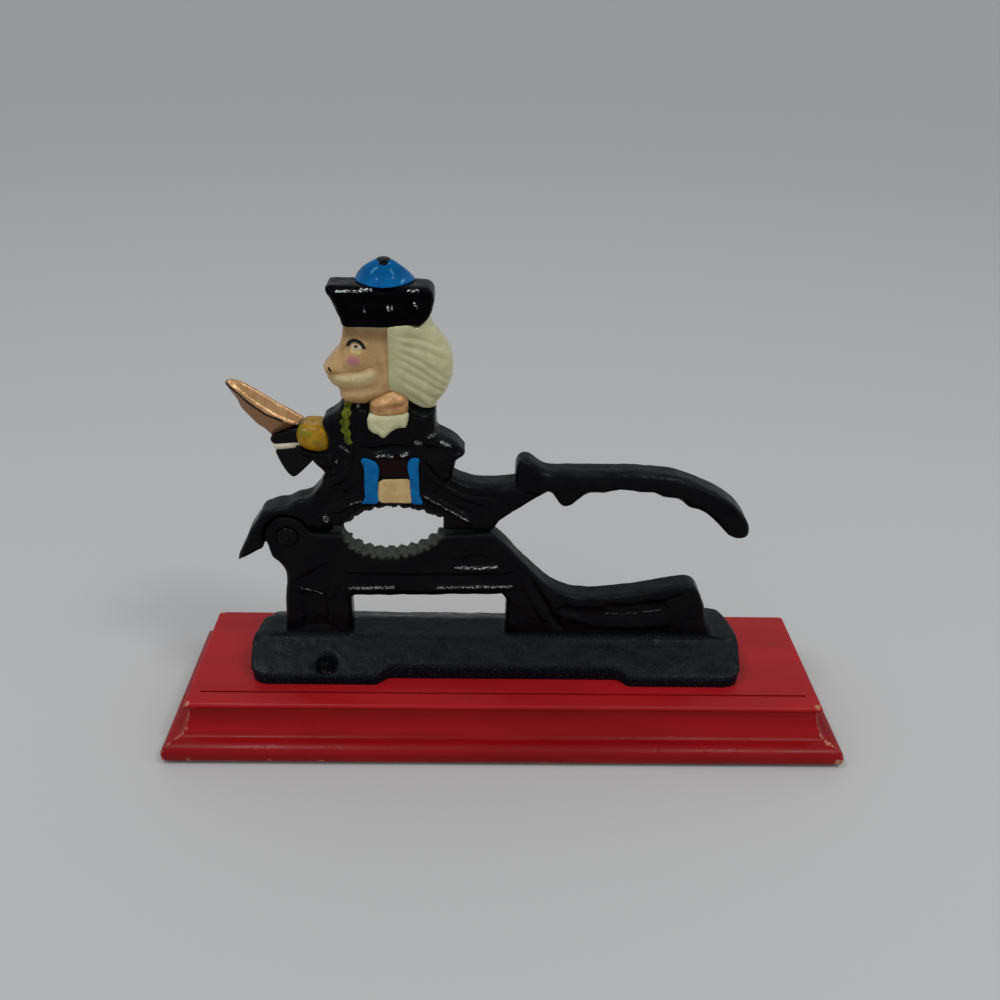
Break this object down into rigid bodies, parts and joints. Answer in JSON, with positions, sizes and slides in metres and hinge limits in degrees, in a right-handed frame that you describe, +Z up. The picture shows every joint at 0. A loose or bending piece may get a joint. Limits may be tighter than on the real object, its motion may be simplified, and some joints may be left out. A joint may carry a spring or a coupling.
{
  "type": "lever nutcracker press",
  "caption": "Cast lever nutcracker on a moulded wooden plinth: serrated jaws, a hinged lever with a curved handle, and a painted soldier standing on the lever.",
  "frame": {"origin": "middle of the plinth's footprint, on the surface it stands on", "axes": "+X along the plinth from the pivot towards the handle's tip, +Y from the side the picture shows to the far side, +Z up"},
  "size_m": [0.254, 0.0762, 0.1799],
  "materials": {
    "plinth_red": "red gloss paint on wood, worn to pale wood at the corners",
    "pad_felt": "pressed felt",
    "black_casting": "black enamel over cast iron, dusty on the upper faces",
    "rivet_steel": "black painted steel",
    "screw_steel": "blackened steel",
    "black_enamel": "gloss black hobby paint on cast iron",
    "blue_enamel": "gloss blue paint on cast iron",
    "skin_enamel": "satin skin-coloured paint on cast iron",
    "cream_enamel": "gloss cream paint on cast iron",
    "hair_enamel": "gloss off-white paint on cast iron",
    "copper_enamel": "metallic copper paint on cast iron",
    "yellow_enamel": "ochre yellow paint on cast iron",
    "olive_enamel": "olive paint on cast iron",
    "khaki_enamel": "buff paint on cast iron"
  },
  "bodies": {
    "base": {"plinth": "plinth_red", "pad_1": "pad_felt", "pad_2": "pad_felt", "pad_3": "pad_felt", "pad_4": "pad_felt", "frame_casting": "black_casting", "pivot_rivet": "rivet_steel", "base_screw_front": "screw_steel", "base_screw_back": "screw_steel"},
    "lever": {"lever_casting": "black_casting", "figure_hat": "black_enamel", "hat_crown": "blue_enamel", "hat_button": "black_enamel", "figure_face": "skin_enamel", "figure_moustache": "cream_enamel", "figure_hair": "hair_enamel", "figure_kerchief": "copper_enamel", "figure_jabot": "cream_enamel", "braid_front": "olive_enamel", "braid_back": "olive_enamel", "trouser_panel_front": "khaki_enamel", "trouser_panel_back": "khaki_enamel", "stripe_left_front": "blue_enamel", "stripe_left_back": "blue_enamel", "stripe_right_front": "blue_enamel", "stripe_right_back": "blue_enamel", "figure_glove": "yellow_enamel", "sabre_blade": "copper_enamel", "sabre_guard": "black_enamel", "sabre_stripe": "cream_enamel", "sabre_pommel": "black_enamel"}
  },
  "joints": [
    {"name": "lever_pivot", "type": "hinge", "parent": "base", "child": "lever", "pos_m": [-0.0807, 0.0035, 0.0768], "axis": [0, -1, 0], "range_deg": [0, 22]}
  ]
}
